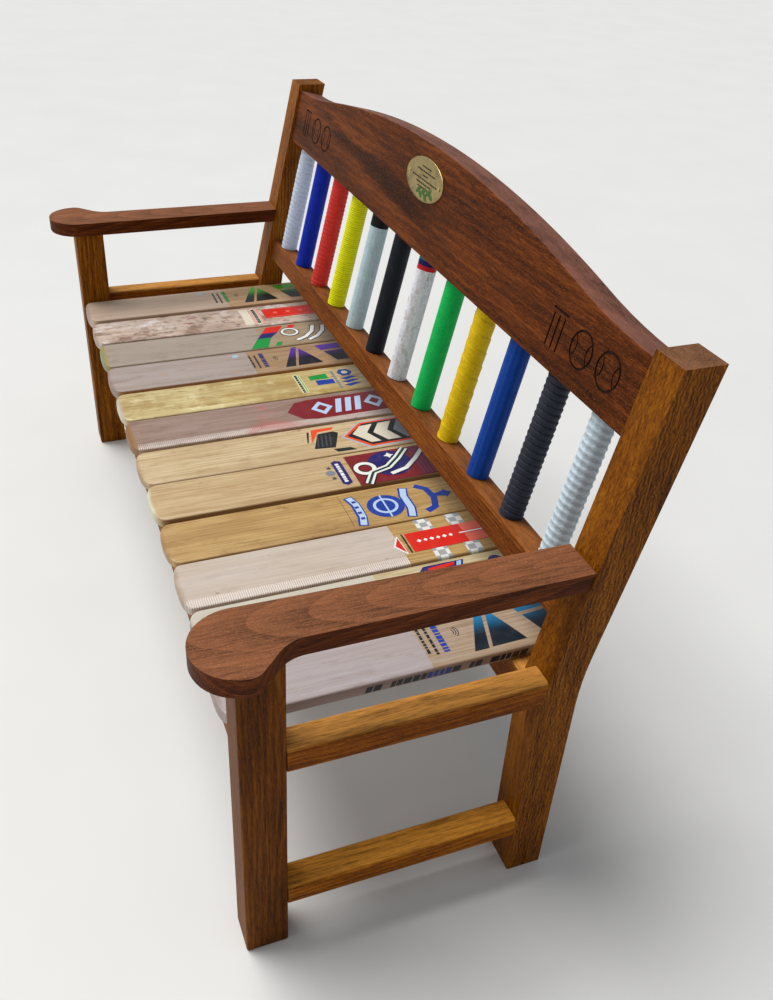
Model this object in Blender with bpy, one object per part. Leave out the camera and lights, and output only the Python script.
"""Garden bench whose seat slats are cricket bat blades and whose back spindles are bat handles.

Metres, +Z up, the sitter faces -Y, X runs along the bench, ground at Z = 0.
"""
import math

import bmesh
import bpy
import numpy as np
from mathutils import Vector

# ---- overall sizes -------------------------------------------------------------------------
HALF_LEN = 0.7515        # bench centre to the outer face of a side frame
POST_W = 0.057           # legs and back posts, along X
INNER = HALF_LEN - POST_W
GAP = 0.0003             # clearance between neighbouring pieces
SLOP = 0.0004            # clearance round a tenon inside its mortise

# front legs
LEG_FRONT = -0.2667
LEG_REAR = -0.2067
ARM_UNDER = 0.5347
ARM_TOP = 0.5633

# back posts: upright below the bend, raked above it
POST_FRONT = 0.1404
BEND_Z = 0.3301
RAKE = math.atan(0.218)
POST_TOP = 0.8345
FOOT_REAR = 0.1947
HIP_REAR, HIP_Z = 0.2019, 0.3779
CREST_REAR = 0.3087

# side frame rails
SEAT_RAIL_Z = (0.3491, 0.3876)
SEAT_RAIL_W = 0.0415
STRETCHER_Z = (0.0828, 0.1169)
STRETCHER_W = 0.0420

# cross rails under the blades
FRONT_RAIL_Y = (-0.2519, -0.2139)
REAR_RAIL_Y = (0.1431, 0.1811)
CROSS_RAIL_H = 0.060

# back frame, measured from the bend point: D into the frame, S up along the rake
TOP_RAIL_D = (0.0050, 0.0545)
TOP_RAIL_S = 0.3980
CREST_END_S = 0.5050
CREST_MID_S = 0.5685
CREST_R = 2.80
LOW_RAIL_D = (0.0110, 0.0540)
LOW_RAIL_S = (0.1222, 0.1654)
HANDLE_D = 0.0325

# bats
BATS = 12
ROW_SHIFT = -0.0115      # the row sits slightly towards the left frame
BLADE_PITCH = 0.1132
BLADE_W = 0.1080
BLADE_EDGE = 0.0235      # thickness at the edge
BLADE_TOE = -0.2679
BLADE_HEEL = 0.2556
BLADE_TOP_TOE, BLADE_TOP_HEEL = 0.3787, 0.3828
SPINE_DEPTH = 0.015
TOE_DEPTH = 0.024       # length of the rounded toe in plan
# older bats were pressed and planed thinner: this much is missing at the face of each one
BLADE_WEAR = (0.0, 0.004, 0.004, 0.0035, 0.0065, 0.005, 0.007, 0.005, 0.009, 0.007, 0.007, 0.003)
HANDLE_PITCH = 0.1144
GRIP_R = 0.0177
GRIP_WALL = 0.0021
CANE_TENON_R = 0.0110
CANE_TENON_L = 0.018

# plaque
PLAQUE_X, PLAQUE_S = 0.0078, 0.5112
PLAQUE_A, PLAQUE_B, PLAQUE_T = 0.0740, 0.0342, 0.0015
PIN_X, PIN_R = 0.0612, 0.0026

COLOURS = {
    "post": (0.42, 0.235, 0.075), "leg": (0.40, 0.225, 0.07), "rail": (0.50, 0.30, 0.13),
    "arm": (0.50, 0.28, 0.17), "top_rail": (0.33, 0.165, 0.085), "low_rail": (0.42, 0.24, 0.12),
    "hidden": (0.36, 0.20, 0.09), "cane": (0.74, 0.60, 0.40), "brass": (0.62, 0.52, 0.30),
}
BLADE_COLOURS = [
    (0.64, 0.53, 0.44), (0.74, 0.66, 0.60), (0.70, 0.62, 0.53), (0.72, 0.64, 0.59),
    (0.80, 0.70, 0.48), (0.68, 0.58, 0.54), (0.82, 0.72, 0.54), (0.80, 0.66, 0.47),
    (0.76, 0.60, 0.38), (0.80, 0.74, 0.68), (0.80, 0.73, 0.65), (0.72, 0.64, 0.55),
]
GRIP_COLOURS = [
    (0.70, 0.72, 0.76), (0.01, 0.12, 0.55), (0.70, 0.16, 0.12), (0.72, 0.74, 0.04),
    (0.56, 0.63, 0.64), (0.07, 0.08, 0.10), (0.70, 0.71, 0.70), (0.01, 0.58, 0.28),
    (0.80, 0.70, 0.05), (0.02, 0.14, 0.45), (0.13, 0.14, 0.17), (0.66, 0.72, 0.75),
]


def clear_scene():
    for block in list(bpy.data.objects):
        bpy.data.objects.remove(block, do_unlink=True)


def paint(obj, colour, roughness=0.5, metallic=0.0):
    """Give the object its own Principled material; the colour is display sRGB."""
    linear = [c / 12.92 if c <= 0.04045 else ((c + 0.055) / 1.055) ** 2.4 for c in colour]
    mat = bpy.data.materials.new(obj.name + "_surface")
    mat.use_nodes = True
    bsdf = mat.node_tree.nodes["Principled BSDF"]
    bsdf.inputs["Base Color"].default_value = (*linear, 1.0)
    bsdf.inputs["Roughness"].default_value = roughness
    bsdf.inputs["Metallic"].default_value = metallic
    mat.diffuse_color = (*linear, 1.0)
    mat.roughness = roughness
    mat.metallic = metallic
    obj.data.materials.append(mat)
    return obj


def finish(name, bm, smooth=False):
    bmesh.ops.recalc_face_normals(bm, faces=bm.faces[:])
    mesh = bpy.data.meshes.new(name)
    bm.to_mesh(mesh)
    bm.free()
    for poly in mesh.polygons:
        poly.use_smooth = smooth
    obj = bpy.data.objects.new(name, mesh)
    bpy.context.scene.collection.objects.link(obj)
    return obj


def back(x, d, s):
    """Point of the raked back frame: D into the frame, S up along the rake from the bend."""
    return Vector((x, POST_FRONT + d * math.cos(RAKE) + s * math.sin(RAKE),
                   BEND_Z - d * math.sin(RAKE) + s * math.cos(RAKE)))


def prism(bm, outline, lift, low, high):
    """Extrude a closed outline; lift(a, b, t) places outline point (a, b) at depth t."""
    ends = [[bm.verts.new(lift(a, b, t)) for a, b in outline] for t in (low, high)]
    count = len(outline)
    bm.faces.new(ends[0][::-1])
    bm.faces.new(ends[1])
    for i in range(count):
        j = (i + 1) % count
        bm.faces.new((ends[0][i], ends[0][j], ends[1][j], ends[1][i]))


def box(bm, lift, a, b, c):
    outline = [(a[0], b[0]), (a[1], b[0]), (a[1], b[1]), (a[0], b[1])]
    prism(bm, outline, lift, c[0], c[1])


def along_z(a, b, t):
    return Vector((a, b, t))


def along_x(a, b, t):
    return Vector((t, a, b))


def along_back(a, b, t):
    return back(t, a, b)


def soften(bm, width, pick, segments=2):
    """Round the edges for which pick(edge direction, edge middle) holds."""
    bm.edges.ensure_lookup_table()
    chosen = []
    for edge in bm.edges:
        if len(edge.link_faces) != 2 or edge.calc_face_angle(0.0) < math.radians(25):
            continue
        ends = [v.co for v in edge.verts]
        if pick((ends[1] - ends[0]).normalized(), (ends[0] + ends[1]) / 2):
            chosen.append(edge)
    bmesh.ops.bevel(bm, geom=chosen, offset=width, offset_type="OFFSET", segments=segments,
                    profile=0.5, affect="EDGES", clamp_overlap=True)


def tenon(bm, towards, shoulder, length):
    """Inset the end face that looks towards the given direction and push it out."""
    direction = Vector(towards)
    bmesh.ops.recalc_face_normals(bm, faces=bm.faces[:])
    face = max(bm.faces, key=lambda f: (f.normal.dot(direction) > 0.9) * f.calc_area())
    bmesh.ops.inset_region(bm, faces=[face], thickness=shoulder, use_even_offset=True)
    grown = bmesh.ops.extrude_face_region(bm, geom=[face])
    bmesh.ops.delete(bm, geom=[face], context="FACES_ONLY")
    verts = [g for g in grown["geom"] if isinstance(g, bmesh.types.BMVert)]
    bmesh.ops.translate(bm, verts=verts, vec=direction * length)


def cut(host, bm):
    """Subtract the solids in bm from the host."""
    combine(host, bm, "DIFFERENCE", "_mortises")


def combine(host, bm, operation, suffix):
    tool = finish(host.name + suffix, bm)
    tool.hide_render = True
    tool.display_type = "WIRE"
    modifier = host.modifiers.new(suffix.strip("_"), "BOOLEAN")
    modifier.operation = operation
    modifier.solver = "EXACT"
    modifier.object = tool


def arc(cx, cy, r, start, stop, steps):
    """Points of a circular arc, angles in degrees."""
    out = []
    for i in range(steps + 1):
        t = math.radians(start + (stop - start) * i / steps)
        out.append((cx + r * math.cos(t), cy + r * math.sin(t)))
    return out


def eased(before, corner, after, reach, steps=4):
    """Replace a sharp corner by a short smooth curve."""
    b, c, a = (np.array(p, float) for p in (before, corner, after))
    p0 = c + (b - c) / np.linalg.norm(b - c) * reach
    p2 = c + (a - c) / np.linalg.norm(a - c) * reach
    ts = [i / steps for i in range(steps + 1)]
    return [tuple((1 - t) ** 2 * p0 + 2 * t * (1 - t) * c + t * t * p2) for t in ts]


# ---- side frames ---------------------------------------------------------------------------
def post_front_at(z):
    return POST_FRONT + max(0.0, z - BEND_Z) * math.tan(RAKE)


def front_leg(side, name):
    bm = bmesh.new()
    xs = sorted((side * INNER, side * HALF_LEN))
    box(bm, along_z, xs, (LEG_FRONT, LEG_REAR), (0.0, ARM_UNDER - GAP))
    tenon(bm, (0, 0, 1), 0.012, 0.016)
    soften(bm, 0.0028, lambda d, m: (abs(d.z) > 0.9 or m.z < 0.001) and m.z < 0.5)
    leg = paint(finish(name, bm), COLOURS["leg"], 0.5)
    cuts = bmesh.new()
    for (z0, z1), width in ((SEAT_RAIL_Z, SEAT_RAIL_W), (STRETCHER_Z, STRETCHER_W)):
        x = sorted((side * (HALF_LEN - width + 0.0095 - SLOP), side * (HALF_LEN - 0.0095 + SLOP)))
        box(cuts, along_z, x, (LEG_REAR - 0.0235, LEG_REAR + 0.01), (z0 + 0.0085, z1 - 0.0085))
    z1 = cross_rail_top(FRONT_RAIL_Y)
    x = sorted((side * (INNER - 0.01), side * (INNER + 0.0235)))
    y = (FRONT_RAIL_Y[0] + 0.0095 - SLOP, FRONT_RAIL_Y[1] - 0.0095 + SLOP)
    box(cuts, along_z, x, y, (z1 - CROSS_RAIL_H + 0.0095 - SLOP, z1 - 0.0095 + SLOP))
    cut(leg, cuts)


def back_post(side, name):
    top_front = post_front_at(POST_TOP)
    front = [(POST_FRONT, 0.0), (POST_FRONT, BEND_Z), (top_front, POST_TOP)]
    rear = [(FOOT_REAR, 0.0), (HIP_REAR, HIP_Z), (CREST_REAR, POST_TOP)]
    outline = [front[0]] + eased(*front, 0.015) + [front[2], rear[2]]
    outline += eased(rear[2], rear[1], rear[0], 0.045) + [rear[0]]
    bm = bmesh.new()
    xs = sorted((side * INNER, side * HALF_LEN))
    prism(bm, outline, along_x, xs[0], xs[1])
    soften(bm, 0.0035, lambda d, m: m.z > POST_TOP - 0.001)
    post = paint(finish(name, bm), COLOURS["post"], 0.5)
    cuts = bmesh.new()
    for (z0, z1), width in ((SEAT_RAIL_Z, SEAT_RAIL_W), (STRETCHER_Z, STRETCHER_W)):
        x = sorted((side * (HALF_LEN - width + 0.0095 - SLOP), side * (HALF_LEN - 0.0095 + SLOP)))
        y = post_front_at((z0 + z1) / 2)
        box(cuts, along_z, x, (y - 0.02, y + 0.0245), (z0 + 0.0085, z1 - 0.0085))
    x = sorted((side * (INNER + 0.009 - SLOP), side * (HALF_LEN - 0.009 + SLOP)))
    box(cuts, along_z, x, (post_front_at(ARM_UNDER) - 0.02, post_front_at(ARM_TOP) + 0.0185),
        (ARM_UNDER + 0.007 - SLOP, ARM_TOP - 0.007 + SLOP))
    x = sorted((side * (INNER - 0.01), side * (INNER + 0.0235)))
    z1 = cross_rail_top(REAR_RAIL_Y)
    y = (REAR_RAIL_Y[0] + 0.0095 - SLOP, REAR_RAIL_Y[1] - 0.0095 + SLOP)
    box(cuts, along_z, x, y, (z1 - CROSS_RAIL_H + 0.0095 - SLOP, z1 - 0.0095 + SLOP))
    for d, s, inset in ((LOW_RAIL_D, LOW_RAIL_S, 0.0095), (TOP_RAIL_D, (TOP_RAIL_S, CREST_END_S), 0.0145)):
        box(cuts, along_back, (d[0] + inset - SLOP, d[1] - inset + SLOP),
            (s[0] + inset - SLOP, s[1] - inset + SLOP), x)
    cut(post, cuts)


def side_rail(side, name, heights, width, round_over, shade):
    """Rail from the front leg to the back post; its upper long edges are rounded."""
    z0, z1 = heights
    bm = bmesh.new()
    xs = sorted((side * (HALF_LEN - width), side * HALF_LEN))
    box(bm, along_z, xs, (LEG_REAR + GAP, POST_FRONT - GAP), heights)
    for v in bm.verts:
        if v.co.y > 0:
            v.co.y = post_front_at(v.co.z) - GAP
    tenon(bm, (0, 1, 0), 0.0095, 0.021)
    tenon(bm, (0, -1, 0), 0.0095, 0.021)
    soften(bm, round_over, lambda d, m: abs(d.y) > 0.9 and m.z > z1 - 0.001, 4)
    soften(bm, 0.002, lambda d, m: abs(d.y) > 0.9 and m.z < z0 + 0.001)
    paint(finish(name, bm), COLOURS[shade], 0.45)


def armrest(side, name):
    """Flat arm with a round paddle at the front that swells towards the outside."""
    rear = 0.20
    paddle = arc(0.7360, -0.2544, 0.0595, 180, 354, 22)
    paddle += arc(0.7713, -0.2581, 0.0240, 354, 405, 7)[1:]
    neck = arc(0.8000, -0.1824, 0.0500, 225, 180, 8)
    outline = paddle + neck + [(0.7500, rear), (0.6850, rear)]
    outline = [(x * side, y) for x, y in outline][::side]
    bm = bmesh.new()
    prism(bm, outline, along_z, ARM_UNDER, ARM_TOP)
    for v in bm.verts:
        if v.co.y > rear - 0.001:
            v.co.y = post_front_at(v.co.z) - GAP
    soften(bm, 0.0050, lambda d, m: abs(d.z) < 0.5 and m.z > ARM_TOP - 0.001 and m.y < 0.18, 3)
    soften(bm, 0.0030, lambda d, m: abs(d.z) < 0.5 and m.z < ARM_UNDER + 0.001 and m.y < 0.18, 2)
    arm = paint(finish(name, bm), COLOURS["arm"], 0.4)
    tongue = bmesh.new()
    x = sorted((side * (INNER + 0.009), side * (HALF_LEN - 0.009)))
    box(tongue, along_z, x, (post_front_at(ARM_UNDER) - 0.03, post_front_at(ARM_TOP) + 0.017),
        (ARM_UNDER + 0.007, ARM_TOP - 0.007))
    combine(arm, tongue, "UNION", "_tongue")
    cuts = bmesh.new()
    x = sorted((side * (INNER + 0.012 - SLOP), side * (HALF_LEN - 0.012 + SLOP)))
    y = (LEG_FRONT + 0.012 - SLOP, LEG_REAR - 0.012 + SLOP)
    box(cuts, along_z, x, y, (ARM_UNDER - 0.01, ARM_UNDER + 0.0165))
    cut(arm, cuts)


# ---- cross members -------------------------------------------------------------------------
def blade_top(y):
    t = (y - BLADE_TOE) / (BLADE_HEEL - BLADE_TOE)
    return BLADE_TOP_TOE + (BLADE_TOP_HEEL - BLADE_TOP_TOE) * t


def cross_rail_top(span):
    return blade_top(span[0]) - BLADE_EDGE - GAP


def cross_rail(name, span):
    top = cross_rail_top(span)
    bm = bmesh.new()
    box(bm, along_x, span, (top - CROSS_RAIL_H, top), (-INNER + GAP, INNER - GAP))
    for side in (-1, 1):
        tenon(bm, (side, 0, 0), 0.0095, 0.021)
    soften(bm, 0.002, lambda d, m: abs(d.x) > 0.9 and abs(m.x) < 0.1)
    paint(finish(name, bm), COLOURS["hidden"], 0.6)


def handle_holes(bm, d, s, x_list):
    """Round sockets along the rake, one for each bat handle."""
    for x in x_list:
        ring = arc(0.0, 0.0, CANE_TENON_R + SLOP, 0, 360, 20)[:-1]
        prism(bm, ring, lambda a, b, t, x=x: back(x + a, d + b, t), s[0], s[1])


def handle_x():
    return [ROW_SHIFT + 0.002 + (i - (BATS - 1) / 2) * HANDLE_PITCH for i in range(BATS)]


def low_back_rail():
    bm = bmesh.new()
    box(bm, along_back, LOW_RAIL_D, LOW_RAIL_S, (-INNER + GAP, INNER - GAP))
    for side in (-1, 1):
        tenon(bm, (side, 0, 0), 0.0095, 0.021)
    soften(bm, 0.0025, lambda d, m: abs(d.x) > 0.9 and abs(m.x) < 0.1)
    rail = paint(finish("lower_back_rail", bm), COLOURS["low_rail"], 0.45)
    cuts = bmesh.new()
    handle_holes(cuts, HANDLE_D, (LOW_RAIL_S[1] - CANE_TENON_L - 0.001, LOW_RAIL_S[1] + 0.01), handle_x())
    cut(rail, cuts)


def crest_height(x):
    """Top edge: a convex crown that sweeps into a concave dip at both ends."""
    rise = CREST_MID_S - CREST_END_S
    turn = rise * 2 * CREST_R / INNER
    x = min(abs(x), INNER)
    if x <= turn:
        return CREST_MID_S - x * x / (2 * CREST_R)
    dip = (INNER - turn) * CREST_R / turn
    return CREST_END_S + (INNER - x) ** 2 / (2 * dip)


def top_rail():
    steps = 44
    end = INNER - GAP
    outline = [(-end, TOP_RAIL_S), (end, TOP_RAIL_S)]
    xs = [end - 2 * end * i / steps for i in range(steps + 1)]
    outline += [(x, crest_height(x)) for x in xs]
    bm = bmesh.new()
    prism(bm, outline, lambda a, b, t: back(a, t, b), TOP_RAIL_D[0], TOP_RAIL_D[1])
    for side in (-1, 1):
        tenon(bm, (side, 0, 0), 0.0145, 0.021)
    end_x = end - 0.001
    soften(bm, 0.0035, lambda d, m: abs(d.x) > 0.8 and abs(m.x) < end_x and m.z > 0.75)
    soften(bm, 0.0020, lambda d, m: abs(d.x) > 0.8 and abs(m.x) < end_x and m.z < 0.75)
    rail = paint(finish("top_rail", bm), COLOURS["top_rail"], 0.4)
    cuts = bmesh.new()
    handle_holes(cuts, HANDLE_D, (TOP_RAIL_S - 0.01, TOP_RAIL_S + CANE_TENON_L + 0.001), handle_x())
    for side in (-1, 1):
        ring = arc(PLAQUE_X + side * PIN_X, PLAQUE_S, PIN_R * 0.5 + SLOP, 0, 360, 12)[:-1]
        prism(cuts, ring, lambda a, b, t: back(a, t, b), -0.02, TOP_RAIL_D[0] + 0.0105)
    cut(rail, cuts)


# ---- bats ----------------------------------------------------------------------------------
def blade_half_width(y):
    """Plan shape: parallel sides with a full, slightly bowed toe."""
    t = max(0.0, 1 - (y - BLADE_TOE) / TOE_DEPTH)
    return BLADE_W / 2 * max(0.30, (1 - t ** 2.6) ** (1 / 2.6))


def spine_depth(y):
    """The back swells between the two cross rails and is pared flat where it bears on them."""
    start, stop = FRONT_RAIL_Y[1] + 0.012, REAR_RAIL_Y[0] - 0.012
    if not start < y < stop:
        return 0.0
    return SPINE_DEPTH * math.sin(math.pi * (y - start) / (stop - start)) ** 0.7


def bat_blade(index, name):
    centre = ROW_SHIFT + (index - (BATS - 1) / 2) * BLADE_PITCH
    start, stop = FRONT_RAIL_Y[1] + 0.012, REAR_RAIL_Y[0] - 0.012
    stations = [BLADE_TOE + v for v in (0.0, 0.0008, 0.0022, 0.0045, 0.0080, 0.0140, TOE_DEPTH)]
    stations += [start - 0.001] + [start + (stop - start) * i / 8 for i in range(1, 8)]
    stations += [stop + 0.001, BLADE_HEEL]
    bm = bmesh.new()
    rings = []
    for y in stations:
        w = blade_half_width(y)
        top = blade_top(y)
        nose = 1 - min(1.0, (y - BLADE_TOE) / 0.0045)
        thick = BLADE_EDGE - BLADE_WEAR[index]
        ease = (nose * thick / BLADE_EDGE) ** 2
        bottom = top - BLADE_EDGE + 0.0040 * ease
        top -= BLADE_WEAR[index] + 0.0030 * ease
        depth = spine_depth(y)
        r = 0.0045
        half = [(0.0, top + 0.0), (w * 0.6, top - 0.0003), (w - r, top - 0.0012),
                (w - r * 0.3, top - 0.0012 - r * 0.35), (w, top - 0.0012 - r),
                (w, bottom + 0.004), (w - 0.003, bottom + 0.0008), (w * 0.86, bottom)]
        spine = [(w * 0.45, bottom - depth * 0.55), (w * 0.12, bottom - depth), ]
        right = half + spine
        left = [(-x, z) for x, z in right[1:]][::-1]
        rings.append([bm.verts.new((centre + x, y, z)) for x, z in right + left])
    count = len(rings[0])
    for low, high in zip(rings, rings[1:]):
        for i in range(count):
            j = (i + 1) % count
            bm.faces.new((low[i], low[j], high[j], high[i]))
    bm.faces.new(rings[0][::-1])
    bm.faces.new(rings[-1])
    paint(finish(name, bm), BLADE_COLOURS[index], 0.55)


def revolve(bm, x, profile, sides):
    """Closed solid of revolution about a handle axis; profile points are (radius, s)."""
    rings = []
    for r, s in profile:
        ring = []
        for k in range(sides):
            t = 2 * math.pi * k / sides
            ring.append(bm.verts.new(back(x + r * math.cos(t), HANDLE_D + r * math.sin(t), s)))
        rings.append(ring)
    for low, high in zip(rings, rings[1:]):
        for i in range(sides):
            j = (i + 1) % sides
            bm.faces.new((low[i], low[j], high[j], high[i]))
    return rings


def shade_round(obj, limit):
    """Smooth shading with creases kept sharp."""
    for poly in obj.data.polygons:
        poly.use_smooth = True
    bm = bmesh.new()
    bm.from_mesh(obj.data)
    for edge in bm.edges:
        edge.smooth = edge.calc_face_angle(0.0) < math.radians(limit)
    bm.to_mesh(obj.data)
    bm.free()


def handle(index, grip_name, cane_name):
    x = handle_x()[index]
    low, high = LOW_RAIL_S[1] + GAP, TOP_RAIL_S - GAP
    inner = GRIP_R - GRIP_WALL
    bm = bmesh.new()
    profile = [(inner, low), (GRIP_R - 0.0008, low), (GRIP_R, low + 0.0012), (GRIP_R, high - 0.0012),
               (GRIP_R - 0.0008, high), (inner, high)]
    rings = revolve(bm, x, profile, 24)
    for i in range(24):
        j = (i + 1) % 24
        bm.faces.new((rings[-1][i], rings[-1][j], rings[0][j], rings[0][i]))
    grip = finish(grip_name, bm)
    shade_round(grip, 40)
    paint(grip, GRIP_COLOURS[index], 0.7)

    bm = bmesh.new()
    r = inner - GAP - 0.0001
    tip = CANE_TENON_L
    profile = [(CANE_TENON_R, low - tip), (CANE_TENON_R, low + 0.0003), (r, low + 0.0003),
               (r, high - 0.0003), (CANE_TENON_R, high - 0.0003), (CANE_TENON_R, high + tip)]
    rings = revolve(bm, x, profile, 20)
    bm.faces.new(rings[0][::-1])
    bm.faces.new(rings[-1])
    cane = finish(cane_name, bm)
    shade_round(cane, 40)
    paint(cane, COLOURS["cane"], 0.6)


# ---- plaque --------------------------------------------------------------------------------
def plaque():
    face = TOP_RAIL_D[0] - GAP
    outline = []
    for k in range(48):
        t = 2 * math.pi * k / 48
        outline.append((PLAQUE_X + PLAQUE_A * math.cos(t), PLAQUE_S + PLAQUE_B * math.sin(t)))
    bm = bmesh.new()
    prism(bm, outline, lambda a, b, t: back(a, t, b), face - PLAQUE_T, face)
    edge = back(0, face - PLAQUE_T, PLAQUE_S)
    normal = (back(0, 1, 0) - back(0, 0, 0)).normalized()
    soften(bm, 0.0004, lambda d, m: abs((m - edge).dot(normal)) < 0.0002, 1)
    plate = paint(finish("plaque", bm), COLOURS["brass"], 0.35, 1.0)
    cuts = bmesh.new()
    for side in (-1, 1):
        ring = arc(PLAQUE_X + side * PIN_X, PLAQUE_S, PIN_R * 0.5 + SLOP, 0, 360, 12)[:-1]
        prism(cuts, ring, lambda a, b, t: back(a, t, b), face - 0.01, face + 0.01)
    cut(plate, cuts)
    for side, name in ((-1, "plaque_pin_left"), (1, "plaque_pin_right")):
        head = face - PLAQUE_T - GAP
        profile = [(PIN_R * 0.5, TOP_RAIL_D[0] + 0.010), (PIN_R * 0.5, head), (PIN_R, head),
                   (PIN_R * 0.8, head - 0.0009), (PIN_R * 0.3, head - 0.0013)]
        bm = bmesh.new()
        rings = []
        for r, d in profile:
            rings.append([bm.verts.new(back(PLAQUE_X + side * PIN_X + r * math.cos(math.radians(t)),
                                            d, PLAQUE_S + r * math.sin(math.radians(t))))
                          for t in range(0, 360, 30)])
        for low, high in zip(rings, rings[1:]):
            for i in range(12):
                j = (i + 1) % 12
                bm.faces.new((low[i], low[j], high[j], high[i]))
        bm.faces.new(rings[0][::-1])
        bm.faces.new(rings[-1])
        pin = finish(name, bm)
        shade_round(pin, 40)
        paint(pin, COLOURS["brass"], 0.3, 1.0)


def build():
    clear_scene()
    for side, tag in ((-1, "left"), (1, "right")):
        front_leg(side, "front_leg_" + tag)
        back_post(side, "back_post_" + tag)
        armrest(side, "armrest_" + tag)
        side_rail(side, "side_seat_rail_" + tag, SEAT_RAIL_Z, SEAT_RAIL_W, 0.0070, "rail")
        side_rail(side, "side_stretcher_" + tag, STRETCHER_Z, STRETCHER_W, 0.0060, "rail")
    cross_rail("front_seat_rail", FRONT_RAIL_Y)
    cross_rail("rear_seat_rail", REAR_RAIL_Y)
    low_back_rail()
    top_rail()
    for index in range(BATS):
        tag = "_%02d" % (index + 1)
        bat_blade(index, "bat_blade" + tag)
        handle(index, "handle_grip" + tag, "handle_cane" + tag)
    plaque()


build()
